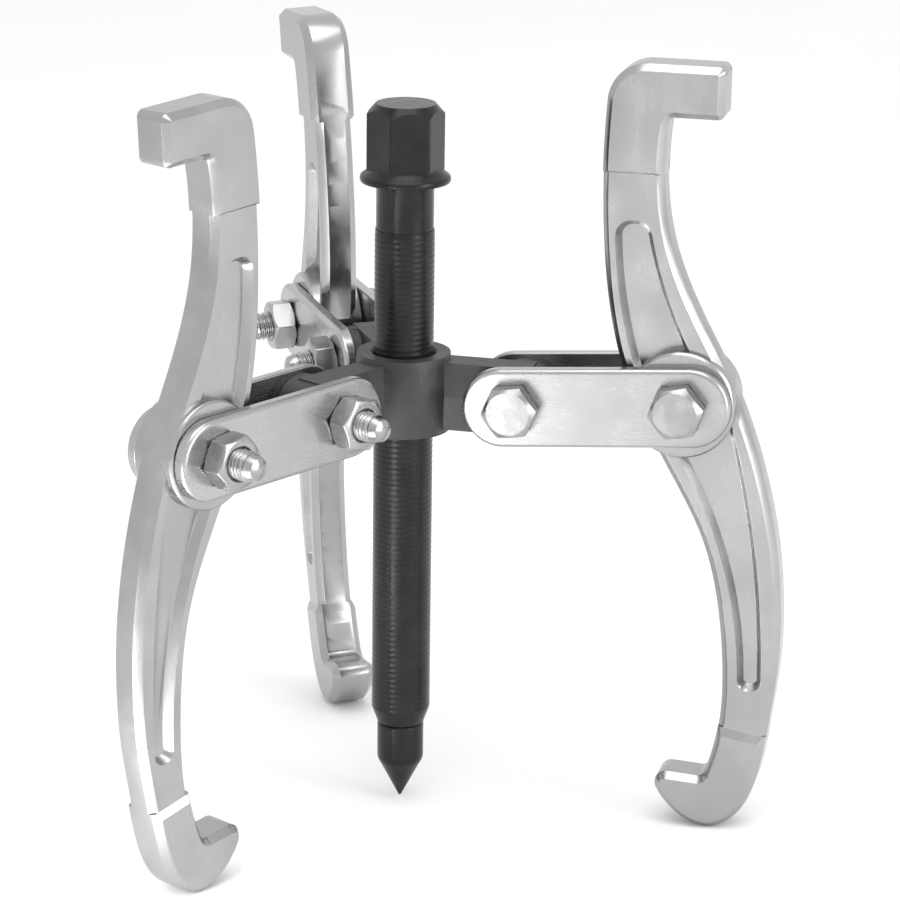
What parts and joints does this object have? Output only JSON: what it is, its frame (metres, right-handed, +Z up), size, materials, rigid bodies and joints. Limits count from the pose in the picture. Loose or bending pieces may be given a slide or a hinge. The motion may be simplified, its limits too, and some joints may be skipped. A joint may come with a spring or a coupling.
{
  "type": "three-jaw gear puller",
  "caption": "Puller with three reversible jaws hung on link straps from a forged yoke, and a black forcing screw with a hexagon head and a pointed centre.",
  "frame": {"origin": "tip of the centre point, on the screw's axis", "axes": "+Z up along the screw towards its hexagon head; +X outward along arm a; arms b and c at 121.5 and 241.2 degrees"},
  "size_m": [0.1652, 0.1781, 0.2106],
  "materials": {
    "jaw": "satin chrome over forged steel",
    "strap": "satin plated steel",
    "bolt": "bright zinc plate",
    "yoke": "dark grey coated forging",
    "screw": "black oxide, oiled",
    "point": "black oxide, hardened"
  },
  "bodies": {
    "spider": {"yoke": "yoke"},
    "point": {"centre_point": "point"},
    "screw": {"forcing_screw": "screw"},
    "link_a": {"strap_a_front": "strap", "strap_a_back": "strap", "inner_bolt_a": "bolt", "outer_bolt_a": "bolt", "inner_nut_a": "bolt", "outer_nut_a": "bolt"},
    "hook_a": {"jaw_a": "jaw"},
    "link_b": {"strap_b_front": "strap", "strap_b_back": "strap", "inner_bolt_b": "bolt", "outer_bolt_b": "bolt", "inner_nut_b": "bolt", "outer_nut_b": "bolt"},
    "hook_b": {"jaw_b": "jaw"},
    "link_c": {"strap_c_front": "strap", "strap_c_back": "strap", "inner_bolt_c": "bolt", "outer_bolt_c": "bolt", "inner_nut_c": "bolt", "outer_nut_c": "bolt"},
    "hook_c": {"jaw_c": "jaw"}
  },
  "joints": [
    {"name": "screw_travel", "type": "slide", "parent": "spider", "child": "point", "axis": [0, 0, 1], "range_m": [-0.045, 0.075]},
    {"name": "screw_turn", "type": "hinge", "parent": "point", "child": "screw", "pos_m": [0, 0, 0.1], "axis": [0, 0, 1], "range_deg": [-10830, 18030]},
    {"name": "strap_swing_a", "type": "hinge", "parent": "spider", "child": "link_a", "pos_m": [0.032, 0, 0.1164], "axis": [0, -1, 0], "range_deg": [-16.6, 17.4]},
    {"name": "jaw_swing_a", "type": "hinge", "parent": "link_a", "child": "hook_a", "pos_m": [0.07596, 0, 0.11994], "axis": [0, -1, 0], "range_deg": [-19.4, 6.6]},
    {"name": "strap_swing_b", "type": "hinge", "parent": "spider", "child": "link_b", "pos_m": [-0.01672, 0.02728, 0.1164], "axis": [0.8515, 0.5218, 0.0523], "range_deg": [-11.5, 22.5]},
    {"name": "jaw_swing_b", "type": "hinge", "parent": "link_b", "child": "hook_b", "pos_m": [-0.03974, 0.06489, 0.11602], "axis": [0.8515, 0.5218, 0.0523], "range_deg": [-20.5, 5.5]},
    {"name": "strap_swing_c", "type": "hinge", "parent": "spider", "child": "link_c", "pos_m": [-0.01542, -0.02804, 0.1164], "axis": [-0.8763, 0.4818, 0], "range_deg": [-11.2, 22.8]},
    {"name": "jaw_swing_c", "type": "hinge", "parent": "link_c", "child": "hook_c", "pos_m": [-0.03666, -0.06668, 0.11578], "axis": [-0.8763, 0.4818, 0], "range_deg": [-21.3, 4.7]}
  ],
  "couplings": [
    {"joint": "screw_turn", "follows": "screw_travel", "rad_per_m": 4188.8}
  ]
}
